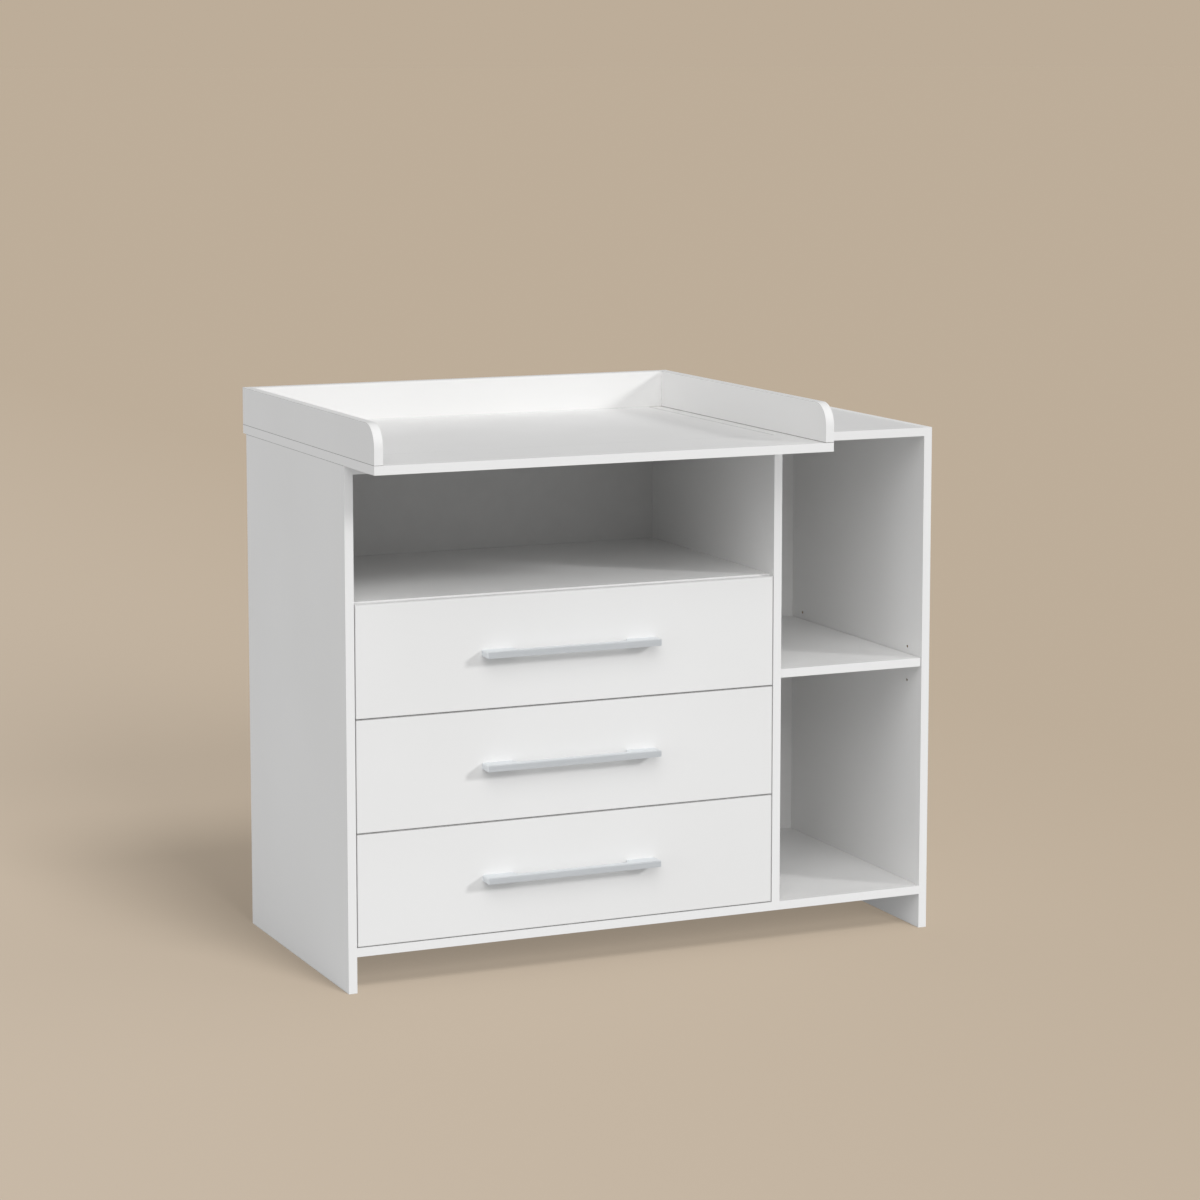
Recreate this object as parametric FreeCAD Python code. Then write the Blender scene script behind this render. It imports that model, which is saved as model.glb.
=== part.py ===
import FreeCAD, Part
import os

# Changing dresser: a drawer bay and an open shelf bay in white board, with a railed changing top.
#
# Plan coordinates used below: x runs from the left outer face to the right, y from the front edge
# of the cabinet towards the wall, z up from the floor. Each solid is written out shifted so that
# the origin lies at the bottom centre of the whole object. Millimetres.

os.makedirs("parts", exist_ok=True)
Vec = FreeCAD.Vector
UP = (0, 0, 1)

# ---- driving dimensions -------------------------------------------------------------------
BOARD = 16.0                 # melamine-faced board
BODY_W = 1154.0              # cabinet width over the side panels
BODY_D = 540.0               # cabinet depth
BODY_H = 949.0               # cabinet height at its top surface
FOOT_H = 65.0                # underside of the base panel above the floor
DIVIDER_X = 828.0            # left face of the divider

TOP_DEPTH = 710.0            # changing top, front edge to back edge
TOP_OVERHANG = 152.0         # changing top in front of the cabinet
TOP_W = 869.0                # changing top over its rails
RAIL_H = 70.0                # rails above the changing surface
RAIL_CORNER_R = 40.0         # rounding of each side rail's upper front corner
SEAM = 1.0                   # gap between the changing board and the shelf bay's top

SHELF_TOP_Z = 692.0          # top of the fixed shelf over the drawers
SHELF_SETBACK = 17.5         # the fixed shelf's front edge hides behind the top drawer's front
MID_SHELF_Z = 500.0          # underside of the adjustable shelf
MID_SHELF_PLAY = 1.0         # side clearance of the adjustable shelf
MID_SHELF_SETBACK = 2.0

BACK_T = 3.0                 # hardboard back
BACK_Y = 529.0               # front face of the back
GROOVE_D = 6.0               # depth of the grooves that hold the back

FRONT_H = 200.8              # drawer fronts
FRONT_GAP = 2.0              # gap around each drawer front
DRAWERS = ("bottom", "middle", "top")
BOX_T = 12.0                 # drawer sides and back
BOX_L = 460.0                # drawer box behind its front
BOX_H = 140.0
BOX_LIFT = 22.0              # drawer box above the lower edge of its front
BOX_CLEAR = 12.5             # room for a runner on each side of the box
BOTTOM_T = 3.0               # drawer bottom
BOTTOM_LIFT = 10.0           # drawer bottom above the lower edge of the box
BOTTOM_GROOVE = 4.0

HANDLE_L = 337.0             # bar handle
HANDLE_OUT = 29.0            # how far it stands out from the drawer front
HANDLE_T = 12.0              # height of the bar
HANDLE_BAR_D = 14.0          # depth of the slim middle part
HANDLE_BLOCK_L = 57.0        # length of each deep end block at the drawer front
HANDLE_SLANT = 5.0           # the end block's inner face widens towards the bar
HANDLE_CHAMFER = 1.6
HANDLE_SCREWS = 288.0        # distance between the two fixing screws
HANDLE_RISE = -0.6           # bar centre against the middle of the drawer front

RUNNER_L = 450.0
RUNNER_Y = 18.0              # front end of the runners
STEEL = 1.2                  # runner sheet
CHANNEL_W = 10.0             # cabinet runner: width of its flanges
CHANNEL_Z = (-2.2, 24.6)     # its lower and upper face, from the lower edge of the drawer box
CHANNEL_NOTCH = 32.0         # the upper flange starts behind the front roller
ROLLER_R = 11.9
ROLLER_U = (3.0, 9.5)        # rollers, from the cabinet's side inwards
FRONT_ROLLER = (35.0, 13.0)  # axis: y, and height from the lower edge of the drawer box
REAR_ROLLER = (455.0, 11.2)
AXLE_R = 2.5
AXLE_PLAY = 0.05
RAIL_FLANGE_Z = 25.2         # drawer runner: underside of the flange that rides on the front roller
RAIL_FLANGE_U = 2.0
RAIL_FOOT = 10.0             # width of its foot under the drawer side

PIN_R = 2.5
PIN_IN = 10.0                # shelf pin inside the panel
PIN_OUT = 9.0                # and under the shelf
PIN_PITCH = 32.0
PIN_ROWS = (55.0, 485.0)     # y of the two rows of pin holes
HOLE_PLAY = 0.05

CAM_R = 7.5
CAM_DEPTH = 12.5
CAM_INSET = 34.0             # cam centre from the end of its board
CAM_ROWS = (70.0, 465.0)
BOLT_R = 3.0
BOLT_TIP_R = 2.5
BOLT_TIP = 11.0

SCREW_R = 1.6
SCREW_HEAD = (3.4, 1.2)      # radius and height of a pan head
HANDLE_SCREW_HEAD = (4.2, 2.2)
SUNK_SCREW_R = 2.0
SUNK_HEAD = (4.0, 3.0)       # head let into the board, radius and depth
CABINET_SCREW_L = 13.0       # cabinet runner to upright
CABINET_SCREWS_Y = (85.0, 260.0, 435.0)
DRAWER_SCREW_L = 8.0         # drawer runner to drawer side
DRAWER_SCREWS_Y = (70.0, 245.0, 420.0)
HANDLE_SCREW_GRIP = 10.0     # handle screw inside the handle
HANDLE_BORE = 12.0
BACK_SCREW_L = 18.0
BACK_SCREWS_X = {"back_left": (60.0, 290.0, 554.0, 784.0), "back_right": (880.0, 1102.0)}
RAIL_SCREW_L = 52.0
FRONT_RAIL_SCREWS_Y = (-118.0, -34.0)
SIDE_RAIL_SCREWS_Y = (110.0, 265.0, 420.0)
BACK_RAIL_SCREWS_X = (110.0, 415.0, 720.0)
DIVIDER_SCREW_L = 50.0

# ---- derived levels -----------------------------------------------------------------------
BASE_TOP = FOOT_H + BOARD
TOP_UNDER = BODY_H - BOARD
INNER_R = BODY_W - BOARD
DIVIDER_R = DIVIDER_X + BOARD
SHELF_Z = SHELF_TOP_Z - BOARD
RAIL_TOP = BODY_H + RAIL_H
TOP_FRONT = -TOP_OVERHANG
TOP_BACK = TOP_DEPTH - TOP_OVERHANG
MID_SHELF_PIN_Z = MID_SHELF_Z - PIN_R
RAIL_R_X = TOP_W - BOARD
ORIGIN = Vec(-BODY_W / 2, -(TOP_FRONT + TOP_BACK) / 2, 0)

FRONT_X0 = BOARD + FRONT_GAP
FRONT_X1 = DIVIDER_X - FRONT_GAP
FRONT_MIDDLE = (FRONT_X0 + FRONT_X1) / 2
HANDLE_SCREWS_X = (FRONT_MIDDLE - HANDLE_SCREWS / 2, FRONT_MIDDLE + HANDLE_SCREWS / 2)
BOX_X0 = BOARD + BOX_CLEAR
BOX_X1 = DIVIDER_X - BOX_CLEAR
BAY_SIDES = ((BOARD, 1), (DIVIDER_X, -1))    # each side face of the drawer bay, and the way into it
BOX_BACK = BOARD + BOX_L
TINY = 1e-6


def box(x0, x1, y0, y1, z0, z1):
    return Part.makeBox(x1 - x0, y1 - y0, z1 - z0, Vec(x0, y0, z0))


def rod(radius, start, direction, length):
    return Part.makeCylinder(radius, length, Vec(*start), Vec(*direction))


def imprinted(solid, footprints):
    """The same solid, with its flat faces divided along the footprints of what stands on it, so that
    the free surface is a face of its own."""
    stands = [solid.common(foot) for foot in footprints]
    parts = [solid.cut(footprints)] + [part for part in stands if part.Volume > TINY]
    return parts[0].fuse(parts[1:])


def write(name, *solids):
    """One STEP per piece; several solids in it are identical loose pieces."""
    shape = solids[0] if len(solids) == 1 else Part.makeCompound(list(solids))
    shape.translate(ORIGIN)
    shape.exportStep("parts/" + name + ".step")


def front_z(level):
    """Lower edge of a drawer front, counted from the bottom drawer."""
    return BASE_TOP + FRONT_GAP + level * (FRONT_H + FRONT_GAP)


def screw(head, direction, length, head_size=SCREW_HEAD):
    """A pan-head screw; head is the point where the head meets the piece it holds."""
    head_r, head_t = head_size
    back = [-c for c in direction]
    return rod(SCREW_R, head, direction, length).fuse(rod(head_r, head, back, head_t)).removeSplitter()


def screw_hole(head, direction, length):
    return rod(SCREW_R + HOLE_PLAY, head, direction, length)


def sunk_screw(head, length):
    """A screw driven upwards, whose head is let into the board, flush with the surface at head."""
    head_r, head_t = SUNK_HEAD
    return rod(SUNK_SCREW_R, head, UP, length).fuse(rod(head_r, head, UP, head_t)).removeSplitter()


def sunk_hole(head, length):
    head_r, head_t = SUNK_HEAD
    return rod(SUNK_SCREW_R + HOLE_PLAY, head, UP, length).fuse(rod(head_r + HOLE_PLAY, head, UP, head_t))


# ---- hardware that passes through several boards ------------------------------------------
def cam_joint(board_end, into, z_under, y):
    """Cam lock and bolt that pull a board's end against an upright. into is +1 or -1: the way
    from the board's end into the upright, along x."""
    z_mid = z_under + BOARD / 2
    centre = board_end - into * CAM_INSET
    head = board_end - into * (CAM_INSET - CAM_R)
    lock = rod(CAM_R, (centre, y, z_under), UP, CAM_DEPTH)
    shank = rod(BOLT_R, (head, y, z_mid), (into, 0, 0), CAM_INSET - CAM_R)
    tip = rod(BOLT_TIP_R, (board_end, y, z_mid), (into, 0, 0), BOLT_TIP)
    lock_hole = rod(CAM_R + HOLE_PLAY, (centre, y, z_under), UP, CAM_DEPTH)
    shank_hole = rod(BOLT_R + HOLE_PLAY, (head, y, z_mid), (into, 0, 0), CAM_INSET - CAM_R)
    tip_hole = rod(BOLT_TIP_R + HOLE_PLAY, (board_end, y, z_mid), (into, 0, 0), BOLT_TIP)
    return lock, shank.fuse(tip).removeSplitter(), lock_hole.fuse(shank_hole), tip_hole


cuts = {name: [] for name in ("left_side", "right_side", "divider", "base", "left_top", "right_top",
                              "shelf", "back_left", "back_right", "board", "front_board",
                              "rail_left", "rail_right", "rail_back")}
cam_locks, cam_bolts = [], []
CAM_JOINTS = (("base", "left_side", BOARD, -1, FOOT_H), ("base", "right_side", INNER_R, 1, FOOT_H),
              ("shelf", "left_side", BOARD, -1, SHELF_Z), ("shelf", "divider", DIVIDER_X, 1, SHELF_Z),
              ("left_top", "left_side", BOARD, -1, TOP_UNDER - BOARD),
              ("left_top", "divider", DIVIDER_X, 1, TOP_UNDER - BOARD),
              ("right_top", "right_side", INNER_R, 1, TOP_UNDER))
for board_name, upright, end_x, into, z_under in CAM_JOINTS:
    for row in CAM_ROWS:
        lock, bolt, board_hole, tip_hole = cam_joint(end_x, into, z_under, row)
        cam_locks.append(lock)
        cam_bolts.append(bolt)
        cuts[board_name].append(board_hole)
        cuts[upright].append(tip_hole)

shelf_pins = []
for row in PIN_ROWS:
    for step in (-1, 0, 1):
        z = MID_SHELF_PIN_Z + step * PIN_PITCH
        cuts["right_side"].append(rod(PIN_R + HOLE_PLAY, (INNER_R, row, z), (1, 0, 0), PIN_IN))
        cuts["divider"].append(rod(PIN_R + HOLE_PLAY, (DIVIDER_R, row, z), (-1, 0, 0), PIN_IN))
    for face, out in ((INNER_R, -1), (DIVIDER_R, 1)):
        start = (face - out * PIN_IN, row, MID_SHELF_PIN_Z)
        shelf_pins.append(rod(PIN_R, start, (out, 0, 0), PIN_IN + PIN_OUT))

# screws driven from below: through the boards into the rails that stand on them, and through the
# base into the divider
rail_left_x, rail_right_x = BOARD / 2, RAIL_R_X + BOARD / 2
rail_back_y = TOP_BACK - BOARD / 2
RAIL_FIXINGS = [("front_board", "rail_left", rail_left_x, y) for y in FRONT_RAIL_SCREWS_Y]
RAIL_FIXINGS += [("front_board", "rail_right", rail_right_x, y) for y in FRONT_RAIL_SCREWS_Y]
RAIL_FIXINGS += [("board", "rail_left", rail_left_x, y) for y in SIDE_RAIL_SCREWS_Y]
RAIL_FIXINGS += [("right_top", "rail_right", rail_right_x, y) for y in SIDE_RAIL_SCREWS_Y]
RAIL_FIXINGS += [("board", "rail_back", x, rail_back_y) for x in BACK_RAIL_SCREWS_X]
rail_screws = []
for board_name, rail_name, x, y in RAIL_FIXINGS:
    rail_screws.append(sunk_screw((x, y, TOP_UNDER), RAIL_SCREW_L))
    for key in (board_name, rail_name):
        cuts[key].append(sunk_hole((x, y, TOP_UNDER), RAIL_SCREW_L))

divider_screws = []
for y in CAM_ROWS:
    head = (DIVIDER_X + BOARD / 2, y, FOOT_H)
    divider_screws.append(sunk_screw(head, DIVIDER_SCREW_L))
    for key in ("base", "divider"):
        cuts[key].append(sunk_hole(head, DIVIDER_SCREW_L))

back_screws = []
for back_name, xs in BACK_SCREWS_X.items():
    for x in xs:
        head = (x, BACK_Y + BACK_T, FOOT_H + BOARD / 2)
        back_screws.append(screw(head, (0, -1, 0), BACK_SCREW_L))
        for key in (back_name, "base"):
            cuts[key].append(screw_hole(head, (0, -1, 0), BACK_SCREW_L))

cabinet_screws = []
for level in range(len(DRAWERS)):
    box_z = front_z(level) + BOX_LIFT
    for upright, face, out in (("left_side", BOARD, 1), ("divider", DIVIDER_X, -1)):
        for y in CABINET_SCREWS_Y:
            head = (face + out * STEEL, y, box_z + REAR_ROLLER[1])
            cabinet_screws.append(screw(head, (-out, 0, 0), CABINET_SCREW_L))
            cuts[upright].append(screw_hole(head, (-out, 0, 0), CABINET_SCREW_L))

# ---- cabinet ------------------------------------------------------------------------------
back_groove_l = box(BOARD - GROOVE_D, DIVIDER_X + GROOVE_D, BACK_Y, BACK_Y + BACK_T, FOOT_H,
                    TOP_UNDER - BOARD + GROOVE_D)
back_groove_r = box(DIVIDER_R - GROOVE_D, INNER_R + GROOVE_D, BACK_Y, BACK_Y + BACK_T, FOOT_H,
                    TOP_UNDER + GROOVE_D)
BACK_GROOVES = [back_groove_l, back_groove_r]

# where the rails stand on the boards of the top
rail_feet = [box(0, BOARD, TOP_FRONT, TOP_BACK, TOP_UNDER, BODY_H),
             box(RAIL_R_X, TOP_W, TOP_FRONT, TOP_BACK, TOP_UNDER, BODY_H),
             box(0, TOP_W, TOP_BACK - BOARD, TOP_BACK, TOP_UNDER, BODY_H)]

boards = {
    "left_side": box(0, BOARD, 0, BODY_D, 0, TOP_UNDER),
    "right_side": box(INNER_R, BODY_W, 0, BODY_D, 0, BODY_H),
    "divider": box(DIVIDER_X, DIVIDER_R, 0, BODY_D, BASE_TOP, TOP_UNDER),
    "base": box(BOARD, INNER_R, 0, BACK_Y, FOOT_H, BASE_TOP),
    "left_top": box(BOARD, DIVIDER_X, 0, BODY_D, TOP_UNDER - BOARD, TOP_UNDER),
    "right_top": box(DIVIDER_X, INNER_R, 0, BODY_D, TOP_UNDER, BODY_H),
    "shelf": box(BOARD, DIVIDER_X, SHELF_SETBACK, BACK_Y, SHELF_Z, SHELF_TOP_Z),
    "board": box(0, DIVIDER_X - SEAM, 0, TOP_BACK, TOP_UNDER, BODY_H),
    "front_board": box(0, TOP_W, TOP_FRONT, 0, TOP_UNDER, BODY_H),
}
NODE_NAMES = {"left_side": "left_side_panel", "right_side": "right_side_panel", "divider": "divider_panel",
              "base": "base_panel", "left_top": "left_top_panel", "right_top": "right_top_panel",
              "shelf": "compartment_shelf", "board": "changing_board", "front_board": "changing_front_board"}
for key, solid in boards.items():
    solid = solid.cut(cuts[key] + BACK_GROOVES).removeSplitter() if cuts[key] else solid
    if key in ("board", "front_board", "right_top"):
        solid = imprinted(solid, rail_feet)
    write(NODE_NAMES[key], solid)

write("adjustable_shelf", box(DIVIDER_R + MID_SHELF_PLAY, INNER_R - MID_SHELF_PLAY, MID_SHELF_SETBACK,
                              BACK_Y - MID_SHELF_PLAY, MID_SHELF_Z, MID_SHELF_Z + BOARD))
write("shelf_pins", *shelf_pins)
write("back_panel_left", back_groove_l.cut(cuts["back_left"]))
write("back_panel_right", back_groove_r.cut(cuts["back_right"]))
write("back_panel_screws", *back_screws)
write("cam_locks", *cam_locks)
write("cam_bolts", *cam_bolts)
write("cabinet_runner_screws", *cabinet_screws)
write("rail_screws", *rail_screws)
write("divider_screws", *divider_screws)


# ---- changing top rails -------------------------------------------------------------------
def side_rail(x0, x1):
    """Rail with its upper front corner rounded."""
    rail = box(x0, x1, TOP_FRONT, TOP_BACK, BODY_H, RAIL_TOP)
    corner = [edge for edge in rail.Edges
              if edge.BoundBox.YLength < TINY and edge.BoundBox.ZLength < TINY
              and abs(edge.BoundBox.YMin - TOP_FRONT) < TINY and abs(edge.BoundBox.ZMax - RAIL_TOP) < TINY]
    return rail.makeFillet(RAIL_CORNER_R, corner)


write("changing_rail_left", side_rail(0, BOARD).cut(cuts["rail_left"]))
write("changing_rail_right", side_rail(RAIL_R_X, TOP_W).cut(cuts["rail_right"]))
write("changing_rail_back",
      box(BOARD, RAIL_R_X, TOP_BACK - BOARD, TOP_BACK, BODY_H, RAIL_TOP).cut(cuts["rail_back"]))


# ---- runners ------------------------------------------------------------------------------
def side_box(face, out, u0, u1, y0, y1, z0, z1):
    """A box given by u, the distance from the cabinet's side into the drawer bay."""
    xs = sorted((face + out * u0, face + out * u1))
    return box(xs[0], xs[1], y0, y1, z0, z1)


def roller_at(face, out, y, z, radius):
    start = (face + out * ROLLER_U[0], y, z)
    return rod(radius, start, (out, 0, 0), ROLLER_U[1] - ROLLER_U[0])


def cabinet_runner(face, out, box_z):
    """Channel on the cabinet's side, with the stub that carries the front roller."""
    y0, y1 = RUNNER_Y, RUNNER_Y + RUNNER_L
    low, high = box_z + CHANNEL_Z[0], box_z + CHANNEL_Z[1]
    web = side_box(face, out, 0, STEEL, y0, y1, low, high)
    floor = side_box(face, out, 0, CHANNEL_W, y0, y1, low, low + STEEL)
    roof = side_box(face, out, 0, CHANNEL_W, y0 + CHANNEL_NOTCH, y1, high - STEEL, high)
    axis_y, axis_z = FRONT_ROLLER
    stub = rod(AXLE_R, (face, axis_y, box_z + axis_z), (out, 0, 0), CHANNEL_W)
    holes = [screw_hole((face + out * STEEL, y, box_z + REAR_ROLLER[1]), (-out, 0, 0), STEEL)
             for y in CABINET_SCREWS_Y]
    return web.fuse([floor, roof, stub]).cut(holes).removeSplitter()


def drawer_runner(face, out, box_z):
    """Angle under the drawer side: a foot, a web and the flange that rides on the front roller,
    with the stub that carries the rear roller."""
    y0, y1 = RUNNER_Y, RUNNER_Y + RUNNER_L
    flange_z = box_z + RAIL_FLANGE_Z
    web = side_box(face, out, BOX_CLEAR - STEEL, BOX_CLEAR, y0, y1, box_z - STEEL, flange_z + STEEL)
    foot = side_box(face, out, BOX_CLEAR - STEEL, BOX_CLEAR + RAIL_FOOT, y0, y1, box_z - STEEL, box_z)
    flange = side_box(face, out, RAIL_FLANGE_U, BOX_CLEAR, y0, y1, flange_z, flange_z + STEEL)
    axis_y, axis_z = REAR_ROLLER
    stub_start = (face + out * (BOX_CLEAR - STEEL), axis_y, box_z + axis_z)
    stub = rod(AXLE_R, stub_start, (-out, 0, 0), BOX_CLEAR - STEEL - ROLLER_U[0])
    holes = [screw_hole((x, y, box_z - STEEL), UP, STEEL) for x, y in runner_screw_points(face, out)]
    return web.fuse([foot, flange, stub]).cut(holes).removeSplitter()


def runner_screw_points(face, out):
    x = face + out * (BOX_CLEAR + BOX_T / 2)
    return [(x, y) for y in DRAWER_SCREWS_Y]


def rollers(axis, box_z):
    axis_y, axis_z = axis
    pair = []
    for face, out in BAY_SIDES:
        solid = roller_at(face, out, axis_y, box_z + axis_z, ROLLER_R)
        pair.append(solid.cut(roller_at(face, out, axis_y, box_z + axis_z, AXLE_R + AXLE_PLAY)))
    return pair


# ---- handle -------------------------------------------------------------------------------
def handle(centre_z):
    """Bar with two deep end blocks: the plan outline is lifted to the bar's height, and the
    long front edges and the outer ends are chamfered."""
    middle = FRONT_MIDDLE
    half = HANDLE_L / 2
    inner = half - HANDLE_BLOCK_L
    bar_back = -HANDLE_OUT + HANDLE_BAR_D
    plan = [(-half, 0), (-half, -HANDLE_OUT), (half, -HANDLE_OUT), (half, 0), (inner, 0),
            (inner - HANDLE_SLANT, bar_back), (-inner + HANDLE_SLANT, bar_back), (-inner, 0)]
    points = [Vec(middle + x, y, centre_z - HANDLE_T / 2) for x, y in plan]
    solid = Part.Face(Part.makePolygon(points + points[:1])).extrude(Vec(0, 0, HANDLE_T))
    rim = [edge for edge in solid.Edges
           if edge.BoundBox.YMax < -HANDLE_OUT + TINY or
           (edge.BoundBox.YLength > HANDLE_OUT - TINY and edge.BoundBox.XLength < TINY)]
    solid = solid.makeChamfer(HANDLE_CHAMFER, rim)
    bores = [screw_hole((x, 0, centre_z), (0, -1, 0), HANDLE_BORE) for x in HANDLE_SCREWS_X]
    return solid.cut(bores)


def handle_screws(centre_z):
    heads = [(x, BOARD, centre_z) for x in HANDLE_SCREWS_X]
    solids = [screw(head, (0, -1, 0), BOARD + HANDLE_SCREW_GRIP, HANDLE_SCREW_HEAD) for head in heads]
    return solids, [screw_hole(head, (0, -1, 0), BOARD) for head in heads]


# ---- drawers ------------------------------------------------------------------------------
for level, name in enumerate(DRAWERS):
    low = front_z(level)
    box_z = low + BOX_LIFT
    handle_z = low + FRONT_H / 2 + HANDLE_RISE
    screws, handle_holes = handle_screws(handle_z)

    bottom = box(BOX_X0 + BOX_T - BOTTOM_GROOVE, BOX_X1 - BOX_T + BOTTOM_GROOVE, BOARD - BOTTOM_GROOVE,
                 BOX_BACK, box_z + BOTTOM_LIFT, box_z + BOTTOM_LIFT + BOTTOM_T)
    front = box(FRONT_X0, FRONT_X1, 0, BOARD, low, low + FRONT_H).cut(handle_holes + [bottom])
    sides, side_screws = [], []
    for face, out in BAY_SIDES:
        side = side_box(face, out, BOX_CLEAR, BOX_CLEAR + BOX_T, BOARD, BOX_BACK, box_z, box_z + BOX_H)
        points = runner_screw_points(face, out)
        holes = [screw_hole((x, y, box_z - STEEL), UP, DRAWER_SCREW_L) for x, y in points]
        side_screws += [screw((x, y, box_z - STEEL), UP, DRAWER_SCREW_L) for x, y in points]
        sides.append(side.cut(holes + [bottom]))
    back = box(BOX_X0 + BOX_T, BOX_X1 - BOX_T, BOX_BACK - BOX_T, BOX_BACK,
               box_z + BOTTOM_LIFT + BOTTOM_T, box_z + BOX_H)

    prefix = "drawer_" + name + "_"
    write(prefix + "front", front)
    write(prefix + "side_left", sides[0])
    write(prefix + "side_right", sides[1])
    write(prefix + "back", back)
    write(prefix + "bottom", bottom)
    write(prefix + "handle", handle(handle_z))
    write(prefix + "handle_screws", *screws)
    write(prefix + "runners", *[drawer_runner(face, out, box_z) for face, out in BAY_SIDES])
    write(prefix + "runner_screws", *side_screws)
    write(prefix + "rear_rollers", *rollers(REAR_ROLLER, box_z))
    write("cabinet_runners_" + name,
          *[cabinet_runner(face, out, box_z) for face, out in BAY_SIDES])
    write("front_rollers_" + name, *rollers(FRONT_ROLLER, box_z))
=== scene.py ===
import math

import bmesh
import bpy
from mathutils import Matrix, Vector


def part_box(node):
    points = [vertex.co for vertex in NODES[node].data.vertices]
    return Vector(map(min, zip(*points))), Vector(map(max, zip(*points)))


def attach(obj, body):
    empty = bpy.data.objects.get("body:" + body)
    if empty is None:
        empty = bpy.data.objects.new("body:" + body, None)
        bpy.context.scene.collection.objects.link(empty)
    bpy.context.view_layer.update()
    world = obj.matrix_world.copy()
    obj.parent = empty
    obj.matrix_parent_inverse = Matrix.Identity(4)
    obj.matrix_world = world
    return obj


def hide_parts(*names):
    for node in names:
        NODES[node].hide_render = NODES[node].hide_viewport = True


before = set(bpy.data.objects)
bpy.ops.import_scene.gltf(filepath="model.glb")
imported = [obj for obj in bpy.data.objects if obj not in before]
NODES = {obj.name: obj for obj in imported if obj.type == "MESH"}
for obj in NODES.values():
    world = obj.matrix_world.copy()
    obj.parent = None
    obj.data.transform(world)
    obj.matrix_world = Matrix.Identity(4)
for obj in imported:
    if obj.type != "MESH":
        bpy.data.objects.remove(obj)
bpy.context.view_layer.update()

# Looks for a changing dresser: a drawer bay and an open shelf bay of white melamine board, with a
# railed changing top. Metres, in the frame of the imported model: +X right, drawer fronts face -Y.

MM = 0.001
LEVELS = ("bottom", "middle", "top")
X, Y, Z = 0, 1, 2                      # axes
LOW, HIGH = 0, 1                       # the two corners of a node's box

# ---- camera, floor and light --------------------------------------------------------------
CAMERA_AT = (-2.5225, -5.6864, 1.6337)
CAMERA_YAW = math.radians(23.872)      # turned to the right of straight ahead
CAMERA_PITCH = math.radians(7.327)     # tilted down
CAMERA_LENS = 102.07                   # mm
CAMERA_SENSOR = 36.0                   # mm
CAMERA_SHIFT = -0.09
CAMERA_CLIP = (0.1, 2000.0)

FLOOR_LEFT = (0.573, 0.481, 0.383, 1)        # the floor's tone in full light, painted paler at the left as a pool of light
FLOOR_RIGHT = (0.508, 0.418, 0.319, 1)
FLOOR_NEUTRAL = (0.45, 0.45, 0.45, 1)        # what the floor throws back at the object
FLOOR_FADE = (-1.5, 1.8)                     # where along X the one tone passes into the other
FLOOR_FAR = (3.0, 14.0)                      # and how far out it does so on every side
FLOOR_GLOW = 0.450                           # share of its tone that it gives off, whatever shades it
FLOOR_LIT = 0.2516                           # share of its tone that the lights act on
FLOOR_HALF = 400.0
FLOOR_DROP = 0.2 * MM                        # keeps the floor just clear of the panels' feet
WORLD_LIGHT = 0.374

# Each light: name; where it stands, in degrees to the right of straight in front and degrees up;
# strength; softness, as its angular size in degrees; and what it lights. "object" is everything but
# the floor, "cabinet" also leaves out the changing top and the right top panel, and "floor" is the
# floor alone.
SUNS = [("key", 48.0, 23.0, 1.12, 9.0, "object"),
        ("fill_high", -15.0, 42.0, 1.08, 50.0, "object"),
        ("fill_left", -45.0, 45.0, 0.21, 50.0, "object"),
        ("fill_side", -80.0, 2.0, 0.72, 40.0, "object"),
        ("rear", 150.0, 10.0, 1.2, 50.0, "cabinet"),
        ("floor_short", 12.0, 52.0, 3.64, 18.0, "floor"),
        ("floor_long", 5.0, 22.0, 5.00, 25.0, "floor"),
        ("floor_side", 60.0, 60.0, 1.16, 50.0, "floor")]
NO_GLARE = ("key", "rear")                   # lights that leave no highlight


def camera():
    data = bpy.data.cameras.new("camera")
    data.lens = CAMERA_LENS
    data.sensor_width = CAMERA_SENSOR
    data.shift_y = CAMERA_SHIFT
    data.clip_start, data.clip_end = CAMERA_CLIP
    cam = bpy.data.objects.new("camera", data)
    bpy.context.scene.collection.objects.link(cam)
    look = Vector((math.sin(CAMERA_YAW) * math.cos(CAMERA_PITCH),
                   math.cos(CAMERA_YAW) * math.cos(CAMERA_PITCH), -math.sin(CAMERA_PITCH)))
    cam.location = CAMERA_AT
    cam.rotation_euler = look.to_track_quat("-Z", "Y").to_euler()
    bpy.context.scene.camera = cam


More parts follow.
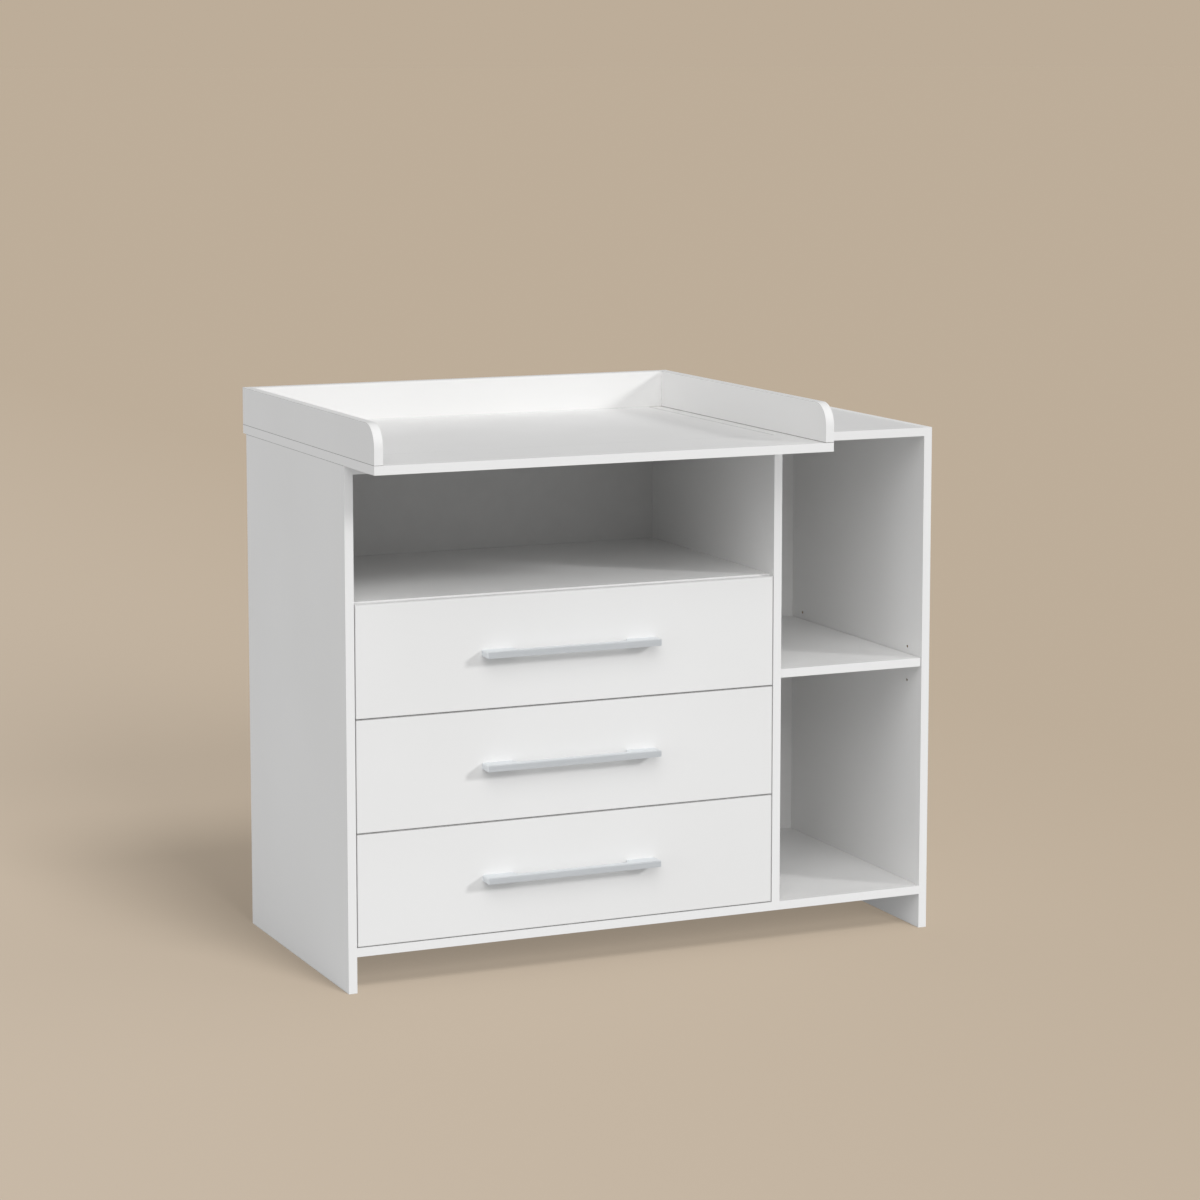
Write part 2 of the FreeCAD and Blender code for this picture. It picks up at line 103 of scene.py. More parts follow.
def lights(floor_plane):
    """The suns, each with its own list of what it lights, and an even surround."""
    changing_top = [NODES[node] for node in NODES if node.startswith(("changing_", "right_top_"))]
    for name, azimuth, elevation, strength, softness, lit in SUNS:
        data = bpy.data.lights.new(name, "SUN")
        data.energy = strength
        data.angle = math.radians(softness)
        lamp = bpy.data.objects.new(name, data)
        lamp.visible_glossy = name not in NO_GLARE
        side, up = math.radians(azimuth), math.radians(elevation)
        travel = Vector((-math.sin(side) * math.cos(up), math.cos(side) * math.cos(up), -math.sin(up)))
        lamp.rotation_euler = travel.to_track_quat("-Z", "Y").to_euler()
        bpy.context.scene.collection.objects.link(lamp)
        receivers = bpy.data.collections.new("lit_by_" + name)
        for piece in [floor_plane] + (changing_top if lit == "cabinet" else []):
            receivers.objects.link(piece)
        for row in receivers.collection_objects:
            row.light_linking.link_state = "INCLUDE" if lit == "floor" else "EXCLUDE"
        lamp.light_linking.receiver_collection = receivers
    world = bpy.data.worlds.new("studio")
    bpy.context.scene.world = world
    world.use_nodes = True
    shader = Nodes(world.node_tree)
    seen = shader.add("ShaderNodeBackground", Color=FLOOR_RIGHT)
    around = shader.add("ShaderNodeBackground", Color=(1, 1, 1, 1), Strength=WORLD_LIGHT)
    mix = shader.add("ShaderNodeMixShader")
    shader.link(shader.add("ShaderNodeLightPath").outputs["Is Camera Ray"], mix.inputs[0])
    shader.link(around.outputs[0], mix.inputs[1])
    shader.link(seen.outputs[0], mix.inputs[2])
    shader.link(mix.outputs[0], shader.add("ShaderNodeOutputWorld").inputs[0])


# ---- node helpers -------------------------------------------------------------------------
class Nodes:
    """Short calls that add shader nodes to one tree."""

    def __init__(self, tree):
        self.tree = tree
        tree.nodes.clear()

    def add(self, kind, **values):
        node = self.tree.nodes.new(kind)
        for socket, value in values.items():
            self.put(node.inputs[socket], value)
        return node

    def put(self, socket, value):
        if isinstance(value, bpy.types.NodeSocket):
            self.link(value, socket)
        else:
            socket.default_value = value

    def link(self, a, b):
        self.tree.links.new(a, b)

    def math(self, operation, a, b=0.0, clamp=False):
        node = self.tree.nodes.new("ShaderNodeMath")
        node.operation = operation
        node.use_clamp = clamp
        self.put(node.inputs[0], a)
        self.put(node.inputs[1], b)
        return node.outputs[0]

    def ramp(self, value, low, high, to_low=0.0, to_high=1.0):
        node = self.tree.nodes.new("ShaderNodeMapRange")
        self.put(node.inputs["Value"], value)
        node.inputs["From Min"].default_value = low
        node.inputs["From Max"].default_value = high
        node.inputs["To Min"].default_value = to_low
        node.inputs["To Max"].default_value = to_high
        return node.outputs[0]

    def mix(self, share, a, b):
        node = self.tree.nodes.new("ShaderNodeMix")
        node.data_type = "RGBA"
        self.put(node.inputs[0], share)
        self.put(node.inputs[6], a)
        self.put(node.inputs[7], b)
        return node.outputs[2]

    def noise(self, where, scale, detail=3.0, roughness=0.5):
        node = self.add("ShaderNodeTexNoise", Scale=scale, Detail=detail, Roughness=roughness)
        self.link(where, node.inputs["Vector"])
        return node.outputs["Fac"]

    def xyz(self, vector):
        node = self.tree.nodes.new("ShaderNodeSeparateXYZ")
        self.link(vector, node.inputs[0])
        return node.outputs

    def stretch(self, vector, scale):
        node = self.tree.nodes.new("ShaderNodeMapping")
        self.link(vector, node.inputs["Vector"])
        node.inputs["Scale"].default_value = scale
        return node.outputs[0]

    def bump(self, height, strength, distance):
        node = self.add("ShaderNodeBump", Strength=strength, Distance=distance)
        self.link(height, node.inputs["Height"])
        return node.outputs[0]


def material(name):
    """A new material with its nodes, its Principled shader, and the object-space coordinates."""
    made = bpy.data.materials.new(name)
    made.use_nodes = True
    shader = Nodes(made.node_tree)
    surface = shader.add("ShaderNodeBsdfPrincipled")
    shader.link(surface.outputs[0], shader.add("ShaderNodeOutputMaterial").inputs[0])
    where = shader.add("ShaderNodeTexCoord")
    return made, shader, surface, where


# ---- materials ----------------------------------------------------------------------------
WHITE = (0.870, 0.868, 0.862, 1)
WHITE_WORN = (0.845, 0.842, 0.835, 1)
EDGING = (0.880, 0.878, 0.873, 1)
# the edging's glue line, darker than its own tone as painted shade of the gaps between boards
SEAM_AND_SHADE_COLOR = (0.38, 0.375, 0.365, 1)
LACQUER_GREY = ((0.695, 0.693, 0.688, 1), (0.720, 0.718, 0.712, 1))
LACQUER_WHITE = ((0.855, 0.852, 0.845, 1), (0.880, 0.877, 0.870, 1))
# painted shade for the arris where a board closes against another
JOINT_SHADE_COLOR = (0.27, 0.265, 0.255, 1)
CORE_LIGHT = (0.46, 0.33, 0.19, 1)
CORE_DARK = (0.24, 0.15, 0.08, 1)
FIBRE_DARK = (0.30, 0.185, 0.10, 1)
FIBRE_BROWN = (0.37, 0.24, 0.135, 1)
FIBRE_PALE = (0.47, 0.33, 0.20, 1)
ALUMINIUM = ((0.800, 0.830, 0.855, 1), (0.850, 0.878, 0.900, 1))
ALUMINIUM_METALLIC = 0.70    # below 1, so that the lights without a highlight still brighten it
STEEL = ((0.62, 0.62, 0.60, 1), (0.50, 0.50, 0.49, 1))
ZINC = ((0.52, 0.53, 0.54, 1), (0.42, 0.43, 0.44, 1))
PAINT = ((0.80, 0.80, 0.79, 1), (0.77, 0.77, 0.76, 1))
NYLON = ((0.86, 0.86, 0.84, 1), (0.82, 0.82, 0.80, 1))
EDGING_T = 0.8 * MM          # thickness of the edging, seen as a fine seam on the board's face
SEAM_HALF = 0.20 * MM
HOLE_FROM_RIM = 3.0 * MM     # faces across the board further in than this are drilled or milled
ON_FACE = (0.80, 0.97)       # share of the normal across the board, from its arris to its face
ON_RIM = 0.5                 # below this share the board's rim or a hole's wall is meant
SQUARE_ON = 0.93             # above this share a point faces straight along an axis
SATIN_ROUGH = (0.36, 0.43)
RAW_ROUGHER = 0.45           # how much rougher the raw chipboard is
NOISE_SPAN = (0.3, 0.7)      # the range that most of a noise's values lie in


def thin_axis(size):
    return min(range(3), key=lambda axis: size[axis])


def rim_distance(shader, where, low, high, thin, corner=None):
    """Distance in from the board's outline, in its own plane. corner is (y, z, radius) of a
    rounded upper front corner: the arc's centre and radius."""
    axes = [axis for axis in range(3) if axis != thin]
    position = shader.xyz(where)
    inward = []
    for axis in axes:
        middle, half = (low[axis] + high[axis]) / 2, (high[axis] - low[axis]) / 2
        off = shader.math("ABSOLUTE", shader.math("SUBTRACT", position[axis], middle))
        inward.append(shader.math("SUBTRACT", half, off))
    rim = shader.math("MINIMUM", *inward)
    if corner is None:
        return rim
    y, z, radius = corner
    forward = shader.math("MAXIMUM", shader.math("SUBTRACT", y, position[1]), 0.0)
    upward = shader.math("MAXIMUM", shader.math("SUBTRACT", position[2], z), 0.0)
    span = shader.math("SQRT", shader.math("ADD", shader.math("POWER", forward, 2.0),
                                           shader.math("POWER", upward, 2.0)))
    inside_corner = shader.math("MULTIPLY", shader.math("GREATER_THAN", forward, 0.0),
                                shader.math("GREATER_THAN", upward, 0.0))
    arc = shader.math("SUBTRACT", radius, span)
    plain = shader.math("MULTIPLY", rim, shader.math("SUBTRACT", 1.0, inside_corner))
    return shader.math("ADD", plain, shader.math("MULTIPLY", arc, inside_corner))


def melamine(name, low, high, corner=None, shaded_joint=None):
    """White melamine-faced board: satin faces with a fine pearl, a smoother glued edging with its
    glue line, darkened as painted shade of the gaps between boards, and raw chipboard wherever the
    board is drilled or grooved. The last argument gives the rim that closes against another board, as
    (axis, end, width): painted shade darkens its arris, where the boards meet."""
    made, shader, surface, where = material(name)
    here, normal = where.outputs["Object"], where.outputs["Normal"]
    thin = thin_axis(high - low)
    facing = shader.math("ABSOLUTE", shader.xyz(normal)[thin])
    on_face = shader.ramp(facing, *ON_FACE)
    rim = rim_distance(shader, here, low, high, thin, corner)

    cloud = shader.noise(here, 2.3, 2.0)
    tone = shader.mix(shader.ramp(cloud, 0.35, 0.65), WHITE, WHITE_WORN)
    color = shader.mix(on_face, EDGING, tone)
    from_seam = shader.math("ABSOLUTE", shader.math("SUBTRACT", rim, EDGING_T))
    seam_and_shade = shader.math("SUBTRACT", 1.0, shader.math("DIVIDE", from_seam, SEAM_HALF), clamp=True)
    # the glue line, darkened further as painted shade of the gaps between boards
    color = shader.mix(shader.math("MULTIPLY", seam_and_shade, on_face), color, SEAM_AND_SHADE_COLOR)
    if shaded_joint:
        axis, end, width = shaded_joint
        edge = (low, high)[end][axis]
        off = shader.math("ABSOLUTE", shader.math("SUBTRACT", shader.xyz(here)[axis], edge))
        turned = shader.math("LESS_THAN", shader.math("ABSOLUTE", shader.xyz(normal)[axis]), SQUARE_ON)
        joint_shade = shader.math("MULTIPLY", turned, shader.math("LESS_THAN", off, width))
        # painted shade along the arris where the boards meet
        color = shader.mix(joint_shade, color, JOINT_SHADE_COLOR)

    across = shader.math("SUBTRACT", 1.0, shader.math("GREATER_THAN", facing, ON_RIM))
    raw = shader.math("MULTIPLY", across, shader.math("GREATER_THAN", rim, HOLE_FROM_RIM))
    chips = shader.ramp(shader.noise(here, 850.0, 4.0, 0.7), 0.35, 0.68)
    core = shader.mix(chips, CORE_DARK, CORE_LIGHT)
    color = shader.mix(raw, color, core)
    shader.link(color, surface.inputs["Base Color"])

    pearl = shader.noise(here, 1150.0, 2.0, 0.45)
    smudge = shader.noise(here, 9.0, 3.0)
    satin = shader.ramp(smudge, *NOISE_SPAN, *SATIN_ROUGH)
    rough = shader.math("ADD", satin, shader.math("MULTIPLY", raw, RAW_ROUGHER))
    shader.link(rough, surface.inputs["Roughness"])
    height = shader.math("ADD", shader.math("MULTIPLY", pearl, on_face),
                         shader.math("MULTIPLY", chips, raw))
    height = shader.math("SUBTRACT", height, shader.math("MULTIPLY", seam_and_shade, 0.6))
    shader.link(shader.bump(height, 0.18, 0.06 * MM), surface.inputs["Normal"])
    surface.inputs["Specular IOR Level"].default_value = 0.5
    return made


def hardboard(name, seen_axis, seen_sign, white_low, white_high):
    """Hardboard, lacquered white on the side that is seen and brown, pressed fibre on the other."""
    made, shader, surface, where = material(name)
    here, normal = where.outputs["Object"], where.outputs["Normal"]
    side = shader.math("MULTIPLY", shader.xyz(normal)[seen_axis], seen_sign)
    lacquered = shader.ramp(side, 0.4, 0.6)
    fibre = shader.noise(here, 420.0, 6.0, 0.75)
    mottle = shader.noise(here, 30.0, 4.0, 0.6)
    brown = shader.mix(shader.ramp(mottle, *NOISE_SPAN), FIBRE_DARK, FIBRE_BROWN)
    brown = shader.mix(shader.ramp(fibre, 0.42, 0.72, 0.0, 0.55), brown, FIBRE_PALE)
    white = shader.mix(shader.ramp(mottle, *NOISE_SPAN), white_high, white_low)
    shader.link(shader.mix(lacquered, brown, white), surface.inputs["Base Color"])
    shader.link(shader.ramp(lacquered, 0.0, 1.0, 0.85, 0.5), surface.inputs["Roughness"])
    shader.link(shader.bump(fibre, 0.22, 0.08 * MM), surface.inputs["Normal"])
    return made


def anodised():
    """Satin anodised aluminium, brushed along the bar."""
    made, shader, surface, where = material("anodised_aluminium")
    here = where.outputs["Object"]
    streak = shader.noise(shader.stretch(here, (8.0, 900.0, 900.0)), 1.0, 4.0, 0.6)
    cloud = shader.noise(here, 40.0, 2.0)
    color = shader.mix(shader.ramp(streak, *NOISE_SPAN), *ALUMINIUM)
    shader.link(color, surface.inputs["Base Color"])
    surface.inputs["Metallic"].default_value = ALUMINIUM_METALLIC
    rough = shader.math("ADD", shader.ramp(streak, *NOISE_SPAN, 0.38, 0.48),
                        shader.ramp(cloud, *NOISE_SPAN, -0.02, 0.02))
    shader.link(rough, surface.inputs["Roughness"])
    shader.link(shader.bump(streak, 0.12, 0.03 * MM), surface.inputs["Normal"])
    return made


def plated(name, color, color_dark, low_rough, high_rough):
    """Zinc-plated or die-cast metal with a cloudy plating."""
    made, shader, surface, where = material(name)
    here = where.outputs["Object"]
    cloud = shader.noise(here, 260.0, 5.0, 0.65)
    tone = shader.mix(shader.ramp(cloud, *NOISE_SPAN), color_dark, color)
    shader.link(tone, surface.inputs["Base Color"])
    surface.inputs["Metallic"].default_value = 1.0
    shader.link(shader.ramp(cloud, *NOISE_SPAN, high_rough, low_rough), surface.inputs["Roughness"])
    shader.link(shader.bump(cloud, 0.15, 0.04 * MM), surface.inputs["Normal"])
    return made


def coated(name, color, color_dark, rough, grain_scale, grain_depth):
    """Powder-coated sheet or moulded plastic: a fine orange peel over a nearly even colour."""
    made, shader, surface, where = material(name)
    here = where.outputs["Object"]
    cloud = shader.noise(here, 12.0, 3.0)
    tone = shader.mix(shader.ramp(cloud, *NOISE_SPAN), color_dark, color)
    shader.link(tone, surface.inputs["Base Color"])
    shader.link(shader.ramp(cloud, *NOISE_SPAN, rough - 0.04, rough + 0.04), surface.inputs["Roughness"])
    peel = shader.noise(here, grain_scale, 2.0, 0.5)
    shader.link(shader.bump(peel, 0.25, grain_depth), surface.inputs["Normal"])
    return made


def floor_material():
    """Pale warm floor, part lit and part glowing, with painted light making it paler at the left near the
    object. The light that it throws back is neutral, so that it does not tint the white boards."""
    made, shader, surface, where = material("studio_floor")
    surface.inputs["Roughness"].default_value = 1.0
    surface.inputs["Specular IOR Level"].default_value = 0.0
    across, along, _ = shader.xyz(where.outputs["Object"])
    span = shader.math("SQRT", shader.math("ADD", shader.math("POWER", across, 2.0),
                                           shader.math("POWER", along, 2.0)))
    # painted light: the paler left tone near the object, the right tone far out
    fade = shader.math("MAXIMUM", shader.ramp(across, *FLOOR_FADE), shader.ramp(span, *FLOOR_FAR))
    camera_ray = shader.add("ShaderNodeLightPath").outputs["Is Camera Ray"]
    tone = shader.mix(camera_ray, FLOOR_NEUTRAL, shader.mix(fade, FLOOR_LEFT, FLOOR_RIGHT))
    shader.link(shader.mix(FLOOR_LIT, (0, 0, 0, 1), tone), surface.inputs["Base Color"])
    shader.link(tone, surface.inputs["Emission Color"])
    surface.inputs["Emission Strength"].default_value = FLOOR_GLOW
    return made


# ---- carried-over CAD nodes ---------------------------------------------------------------
def dress(node, made, bevel=0.0, segments=3):
    """Gives a CAD node its material and, where bevel is set, softly rounded arrises."""
    piece = NODES[node]
    if piece.data.materials:
        for slot in piece.material_slots:
            slot.link = "OBJECT"
            slot.material = made
    else:
        piece.data.materials.append(made)
    if bevel:
        rounding = piece.modifiers.new("arris", "BEVEL")
        rounding.width = bevel
        rounding.segments = segments
        rounding.limit_method = "ANGLE"
        rounding.angle_limit = ARRIS_ANGLE
        rounding.harden_normals = True
        rounding.use_clamp_overlap = True


BOARD_NODES = ["left_side_panel", "right_side_panel", "divider_panel", "base_panel", "left_top_panel",
               "right_top_panel", "compartment_shelf", "adjustable_shelf", "changing_board",
               "changing_front_board", "changing_rail_left", "changing_rail_right", "changing_rail_back"]
BOARD_NODES += [f"drawer_{level}_{part}" for level in LEVELS
                for part in ("front", "side_left", "side_right", "back")]
RAIL_CORNER_R = 40 * MM
ARRIS = 0.7 * MM             # rounding of the boards' edges
HANDLE_ARRIS = 0.3 * MM
RUNNER_ARRIS = 0.25 * MM
ARRIS_ANGLE = math.radians(40)


# The rims that close against another board: axis, end and the width of the line darkened with painted
# shade.
SHADED_JOINTS = {"changing_rail_left": (Z, LOW, 0.8 * MM),
          "changing_rail_right": (Z, LOW, 1.15 * MM),
          "left_side_panel": (Z, HIGH, 0.55 * MM),
          "changing_board": (X, HIGH, 1.5 * MM),
          "drawer_bottom_front": (Z, HIGH, 0.7 * MM),
          "drawer_middle_front": (Z, HIGH, 0.7 * MM)}


def boards():
    for node in BOARD_NODES:
        low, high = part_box(node)
        corner = None
        if node in ("changing_rail_left", "changing_rail_right"):
            corner = (low.y + RAIL_CORNER_R, high.z - RAIL_CORNER_R, RAIL_CORNER_R)
        dress(node, melamine("melamine_" + node, low, high, corner, SHADED_JOINTS.get(node)), ARRIS)


# ---- hardware -----------------------------------------------------------------------------
# Profiles are (radius, height) points, given as shares of a part's own radius or height.
SEGMENTS = 40
JOIN_WITHIN = 0.01 * MM
SHARP_ABOVE = 35.0           # degrees between faces that shade as a sharp edge
ROLLER_SHARP_ABOVE = 28.0
PIN_COLLAR = 0.9             # thickness of a shelf pin's collar, of the gap beside the shelf
# Of a screw's head radius: heights of the two pan heads, depth of a sunk head, and shank radii.
WOOD_HEAD_T, MACHINE_HEAD_T, SUNK_HEAD_T = 0.36, 0.52, 0.75
PAN_SHANK, SUNK_SHANK = 0.45, 0.5
SMALL_HEAD = 4 * MM          # smaller pan heads are wood screws, flatter than the handles' screws

# Turns that carry +Z to an axis and a sign along it.
TURN_TO = {(X, 1): Matrix.Rotation(math.radians(90), 4, "Y"),
           (X, -1): Matrix.Rotation(math.radians(-90), 4, "Y"),
           (Y, 1): Matrix.Rotation(math.radians(-90), 4, "X"),
           (Y, -1): Matrix.Rotation(math.radians(90), 4, "X"),
           (Z, 1): Matrix.Identity(4),
           (Z, -1): Matrix.Rotation(math.radians(180), 4, "X")}


def islands(node):
    """The box of each separate solid of a CAD node, as (lowest corner, highest corner)."""
    mesh = bmesh.new()
    mesh.from_mesh(NODES[node].data)
    bmesh.ops.remove_doubles(mesh, verts=mesh.verts, dist=JOIN_WITHIN)
    left, found = set(mesh.verts), []
    while left:
        reached, front = set(), [left.pop()]
        while front:
            vert = front.pop()
            reached.add(vert)
            near = {edge.other_vert(vert) for edge in vert.link_edges} & left
            left -= near
            front += near
        points = [vert.co for vert in reached]
        found.append((Vector(min(p[i] for p in points) for i in range(3)),
                      Vector(max(p[i] for p in points) for i in range(3))))
    mesh.free()
    return sorted(found, key=lambda pair: tuple(round(c, 4) for c in pair[0]))


def ring(mesh, radius, z):
    turns = [2 * math.pi * k / SEGMENTS for k in range(SEGMENTS)]
    return [mesh.verts.new((radius * math.cos(turn), radius * math.sin(turn), z)) for turn in turns]


def bridge(mesh, lower, upper):
    """Joins two closed rings of equal count with a band of faces."""
    count = len(lower)
    for k in range(count):
        mesh.faces.new((lower[k], lower[(k + 1) % count], upper[(k + 1) % count], upper[k]))


def lathe(mesh, profile, close=False):
    """Turns a profile of (radius, z) points about Z. With close, the last point joins the first."""
    rings = [ring(mesh, radius, z) for radius, z in profile]
    pairs = list(zip(rings, rings[1:])) + ([(rings[-1], rings[0])] if close else [])
    for lower, upper in pairs:
        bridge(mesh, lower, upper)
    return rings


def cross_outline(arm, half):
    """Corners of a cross recess, anticlockwise."""
    quarter = [(arm, -half), (arm, half), (half, half)]
    turns = [(1, 0), (0, 1), (-1, 0), (0, -1)]
    return [(x * c - y * s, x * s + y * c) for c, s in turns for x, y in quarter]


def recessed_cap(mesh, rim, z, arm, half, depth):
    """Closes a rim at height z with a flat cap that has a tapered cross recess in it."""
    taper = 0.62
    top = [mesh.verts.new((x, y, z)) for x, y in cross_outline(arm, half)]
    low = [mesh.verts.new((x * taper, y * taper, z - depth)) for x, y in cross_outline(arm, half)]
    edges = [mesh.edges.new((top[k], top[(k + 1) % len(top)])) for k in range(len(top))]
    edges += [mesh.edges.get((rim[k], rim[(k + 1) % len(rim)])) for k in range(len(rim))]
    bmesh.ops.triangle_fill(mesh, edges=edges, use_beauty=True)
    bridge(mesh, low, top)
    mesh.faces.new(low)


def place(parts, name, body, made, replaced, smooth=SHARP_ABOVE):
    """Joins part meshes, each a (bmesh, matrix), into one piece that stands for a CAD node."""
    whole = bmesh.new()
    for part, matrix in parts:
        bmesh.ops.transform(part, matrix=matrix, verts=part.verts)
        bmesh.ops.recalc_face_normals(part, faces=part.faces)
        chunk = bpy.data.meshes.new("chunk")
        part.to_mesh(chunk)
        part.free()
        whole.from_mesh(chunk)
        bpy.data.meshes.remove(chunk)
    data = bpy.data.meshes.new(name)
    whole.to_mesh(data)
    whole.free()
    data.shade_smooth()
    data.set_sharp_from_angle(angle=math.radians(smooth))
    data.materials.append(made)
    piece = bpy.data.objects.new(name, data)
    bpy.context.scene.collection.objects.link(piece)
    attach(piece, body)
    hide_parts(replaced)


def pan_screw(radius, height, shank_r, shank_l):
    """Pan-head screw along +Z: the head's seat at z 0, the shank below it."""
    mesh = bmesh.new()
    dome = [(shank_r * 0.35, -shank_l), (shank_r, -shank_l + 2 * shank_r), (shank_r, 0), (radius, 0),
            (radius, 0.30 * height), (0.94 * radius, 0.62 * height), (0.80 * radius, 0.87 * height),
            (0.62 * radius, height)]
    rings = lathe(mesh, dome)
    mesh.faces.new(list(reversed(rings[0])))
    recessed_cap(mesh, rings[-1], height, 0.50 * radius, 0.12 * radius, 0.75 * height)
    return mesh


def sunk_screw(radius, depth, shank_r, shank_l):
    """Countersunk screw along +Z, its flat head flush at z 0."""
    mesh = bmesh.new()
    profile = [(shank_r * 0.35, -shank_l), (shank_r, -shank_l + 2 * shank_r), (shank_r, -depth),
               (radius, -0.25 * depth), (radius, -0.04 * depth), (0.97 * radius, 0)]
    rings = lathe(mesh, profile)
    mesh.faces.new(list(reversed(rings[0])))
    recessed_cap(mesh, rings[-1], 0, 0.56 * radius, 0.13 * radius, 0.6 * depth)
    return mesh


def cam_lock(radius, depth):
    """Cam along +Z, flush at z 0: a rim, a raised boss and the driver's cross."""
    mesh = bmesh.new()
    profile = [(0.90 * radius, -depth), (radius, -depth + 0.1 * radius), (radius, -0.05 * radius),
               (0.95 * radius, 0), (0.84 * radius, 0), (0.81 * radius, -0.10 * radius),
               (0.62 * radius, -0.10 * radius), (0.59 * radius, -0.02 * radius)]
    rings = lathe(mesh, profile)
    mesh.faces.new(list(reversed(rings[0])))
    recessed_cap(mesh, rings[-1], -0.02 * radius, 0.46 * radius, 0.085 * radius, 0.35 * radius)
    return mesh


def cam_bolt(radius, length):
    """Bolt between a cam and its upright, along Z: a stepped rod with a waisted neck."""
    mesh = bmesh.new()
    half = length / 2
    profile = [(0.5 * radius, -half), (0.9 * radius, -half + 0.4 * radius), (radius, -half + radius),
               (radius, half - 3.2 * radius), (0.55 * radius, half - 2.6 * radius),
               (0.55 * radius, half - 1.1 * radius), (0.9 * radius, half - 0.8 * radius),
               (0.9 * radius, half - 0.2 * radius), (0.6 * radius, half)]
    rings = lathe(mesh, profile)
    mesh.faces.new(list(reversed(rings[0])))
    mesh.faces.new(rings[-1])
    return mesh


def roller(radius, width):
    """Moulded runner wheel about Z: a crowned tread, dished cheeks and a bored hub."""
    mesh = bmesh.new()
    half, hub, bore = width / 2, 0.44 * radius, 0.22 * radius
    cheek = half - 0.16 * width
    side = [(radius * 0.985, half), (radius * 0.86, half), (radius * 0.82, cheek), (hub * 1.08, cheek),
            (hub, half * 0.98), (bore * 1.3, half * 0.98), (bore * 1.2, half * 0.8)]
    mirrored = [(r, -z) for r, z in reversed(side)]
    tread = [(radius * 0.998, -half * 0.86), (radius, 0.0), (radius * 0.998, half * 0.86)]
    lathe(mesh, side + mirrored + tread, close=True)
    return mesh


def shelf_pin(radius, inside, outside, collar):
    """Shelf pin along +Z: z 0 is the panel's face, the shank goes in and the peg stands out."""
    mesh = bmesh.new()
    profile = [(0.75 * radius, -inside), (radius, -inside + 0.4 * radius), (radius, 0.05 * collar),
               (1.5 * radius, 0.05 * collar), (1.5 * radius, 0.85 * collar), (1.35 * radius, collar),
               (radius, collar), (radius, outside - 0.5 * radius), (0.8 * radius, outside - 0.15 * radius),
               (0.45 * radius, outside)]
    rings = lathe(mesh, profile)
    mesh.faces.new(list(reversed(rings[0])))
    mesh.faces.new(rings[-1])
    return mesh


def at(point, axis, sign):
    """Carries a part made along +Z to a point, turned to face along sign times axis."""
    return Matrix.Translation(point) @ TURN_TO[(axis, sign)]


def screws(node, body, made, axis, sign, sunk=False):
    """Replaces a node of screws. Their heads point along sign times axis."""
    parts = []
    for low, high in islands(node):
        size, middle = high - low, (low + high) / 2
        head_r = size[(axis + 1) % 3] / 2
        head = middle.copy()
        head[axis] = high[axis] if sign > 0 else low[axis]
        if sunk:
            screw = sunk_screw(head_r, SUNK_HEAD_T * head_r, SUNK_SHANK * head_r, size[axis])
        else:
            height = (WOOD_HEAD_T if head_r < SMALL_HEAD else MACHINE_HEAD_T) * head_r
            head[axis] -= sign * height
            screw = pan_screw(head_r, height, PAN_SHANK * head_r, size[axis] - height)
        parts.append((screw, at(head, axis, sign)))
    place(parts, node + "_detailed", body, made, node)


def side_screws(node, body, made):
    """Replaces the cabinet runners' screws, whose heads look into the drawer bay from both sides."""
    parts = []
    middle = sum(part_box("drawer_top_front"), Vector()).x / 2
    for low, high in islands(node):
        sign = 1 if (low.x + high.x) / 2 < middle else -1
        head_r = (high - low).z / 2
        height = WOOD_HEAD_T * head_r
        head = (low + high) / 2
        head.x = (high.x if sign > 0 else low.x) - sign * height
        screw = pan_screw(head_r, height, PAN_SHANK * head_r, (high - low).x - height)
        parts.append((screw, at(head, X, sign)))
    place(parts, node + "_detailed", body, made, node)


def rollers(node, body, made):
    """Replaces a node of runner wheels, whose axles lie along X."""
    parts = []
    for low, high in islands(node):
        middle, size = (low + high) / 2, high - low
        parts.append((roller(size.z / 2, size.x), at(middle, X, 1)))
    place(parts, node + "_detailed", body, made, node, smooth=ROLLER_SHARP_ABOVE)


def cams(made, steel):
    """Replaces the cam locks, whose faces look down, and the bolts that run along X into them."""
    parts = []
    for low, high in islands("cam_locks"):
        face = (low + high) / 2
        face.z = low.z
        parts.append((cam_lock((high - low).x / 2, (high - low).z), at(face, Z, -1)))
    place(parts, "cam_locks_detailed", "cabinet", made, "cam_locks")
    parts = [(cam_bolt((high - low).y / 2, (high - low).x), at((low + high) / 2, X, 1))
             for low, high in islands("cam_bolts")]
    place(parts, "cam_bolts_detailed", "cabinet", steel, "cam_bolts")


def pins(made):
    """Replaces the shelf pins, each from the panel that it is pushed into."""
    bay_left, bay_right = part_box("divider_panel")[1].x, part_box("right_side_panel")[0].x
    shelf_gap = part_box("adjustable_shelf")[0].x - bay_left
    parts = []
    for low, high in islands("shelf_pins"):
        sign = 1 if low.x < (bay_left + bay_right) / 2 else -1
        face = (low + high) / 2
        face.x = bay_left if sign > 0 else bay_right
        inside = abs(face.x - (low.x if sign > 0 else high.x))
        outside = (high - low).x - inside
        pin = shelf_pin((high - low).z / 2, inside, outside, PIN_COLLAR * shelf_gap)
        parts.append((pin, at(face, X, sign)))
    place(parts, "shelf_pins_detailed", "cabinet", made, "shelf_pins")


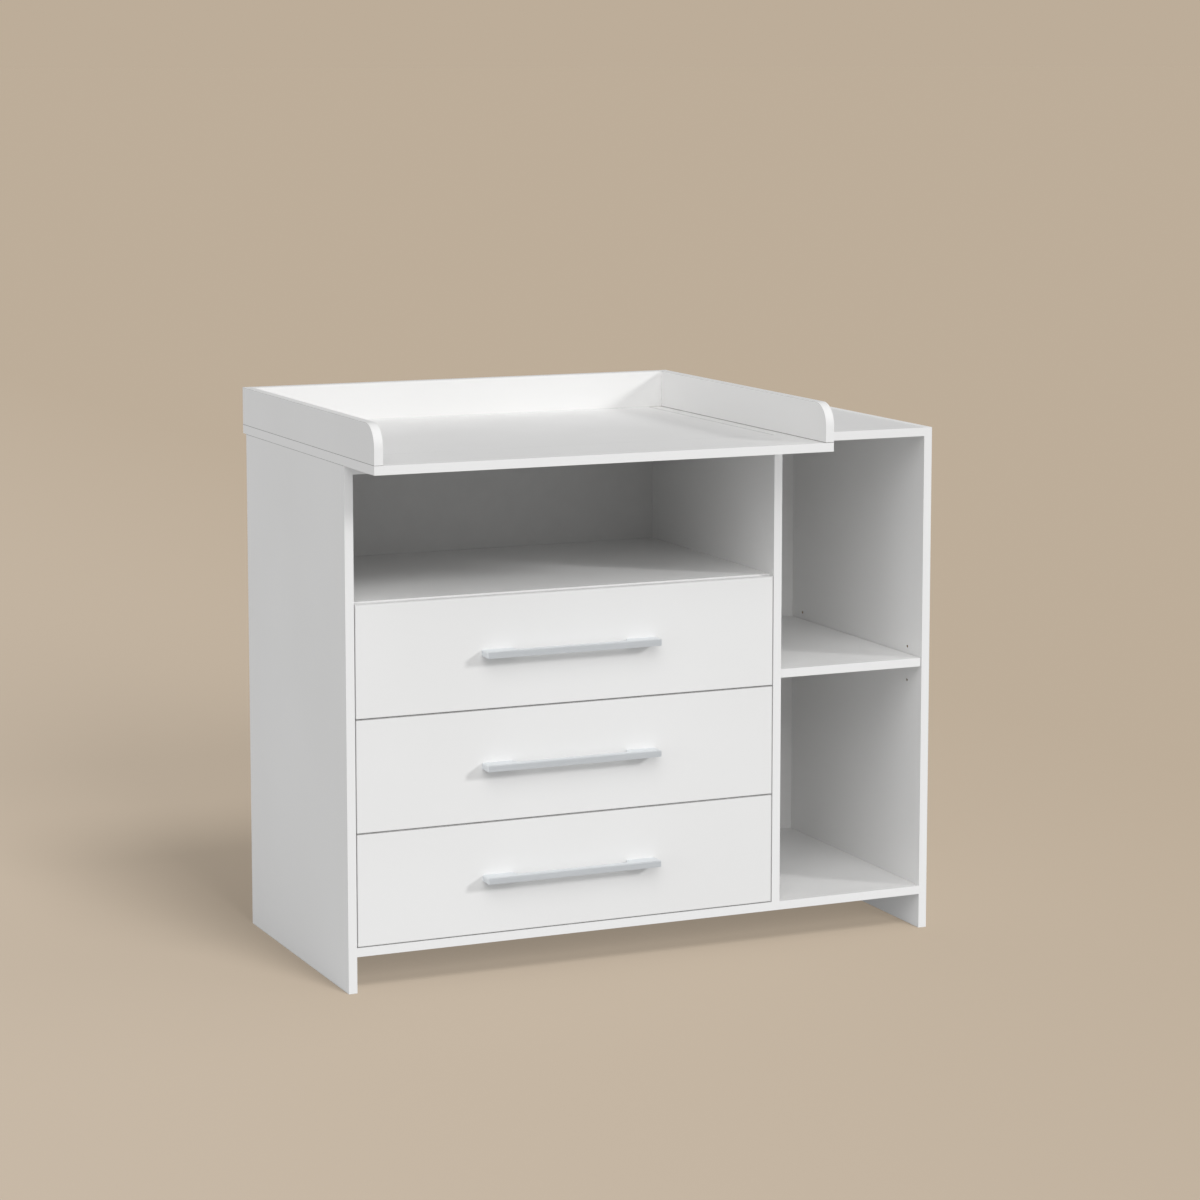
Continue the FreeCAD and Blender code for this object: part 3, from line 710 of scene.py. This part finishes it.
def floor():
    mesh = bpy.data.meshes.new("floor")
    mesh.from_pydata([(-FLOOR_HALF, -FLOOR_HALF, 0), (FLOOR_HALF, -FLOOR_HALF, 0),
                      (FLOOR_HALF, FLOOR_HALF, 0), (-FLOOR_HALF, FLOOR_HALF, 0)], [], [(0, 1, 2, 3)])
    plane = bpy.data.objects.new("floor", mesh)
    plane.location.z = -FLOOR_DROP
    mesh.materials.append(floor_material())
    bpy.context.scene.collection.objects.link(plane)
    return plane


def main():
    bpy.context.scene.view_settings.view_transform = "Standard"
    camera()
    lights(floor())
    boards()
    dress("back_panel_left", hardboard("hardboard_back_left", Y, -1.0, *LACQUER_GREY))
    dress("back_panel_right", hardboard("hardboard_back_right", Y, -1.0, *LACQUER_WHITE))
    bottom = hardboard("hardboard_bottom", Z, 1.0, *LACQUER_GREY)
    handle = anodised()
    steel = plated("zinc_plated_steel", *STEEL, low_rough=0.25, high_rough=0.40)
    zinc = plated("die_cast_zinc", *ZINC, low_rough=0.40, high_rough=0.55)
    sheet = coated("powder_coated_runner", *PAINT, rough=0.35, grain_scale=700.0, grain_depth=0.05 * MM)
    nylon = coated("white_nylon", *NYLON, rough=0.45, grain_scale=500.0, grain_depth=0.02 * MM)
    for level in LEVELS:
        drawer = "drawer_" + level
        dress(drawer + "_bottom", bottom)
        dress(drawer + "_handle", handle, HANDLE_ARRIS, segments=2)
        dress(drawer + "_runners", sheet, RUNNER_ARRIS, segments=2)
        dress("cabinet_runners_" + level, sheet, RUNNER_ARRIS, segments=2)
        screws(drawer + "_handle_screws", drawer, steel, Y, 1)
        screws(drawer + "_runner_screws", drawer, steel, Z, -1)
        rollers(drawer + "_rear_rollers", "rear_rollers_" + level, nylon)
        rollers("front_rollers_" + level, "front_rollers_" + level, nylon)
    screws("back_panel_screws", "cabinet", steel, Y, 1)
    screws("rail_screws", "cabinet", steel, Z, -1, sunk=True)
    screws("divider_screws", "cabinet", steel, Z, -1, sunk=True)
    side_screws("cabinet_runner_screws", "cabinet", steel)
    cams(zinc, steel)
    pins(steel)


main()
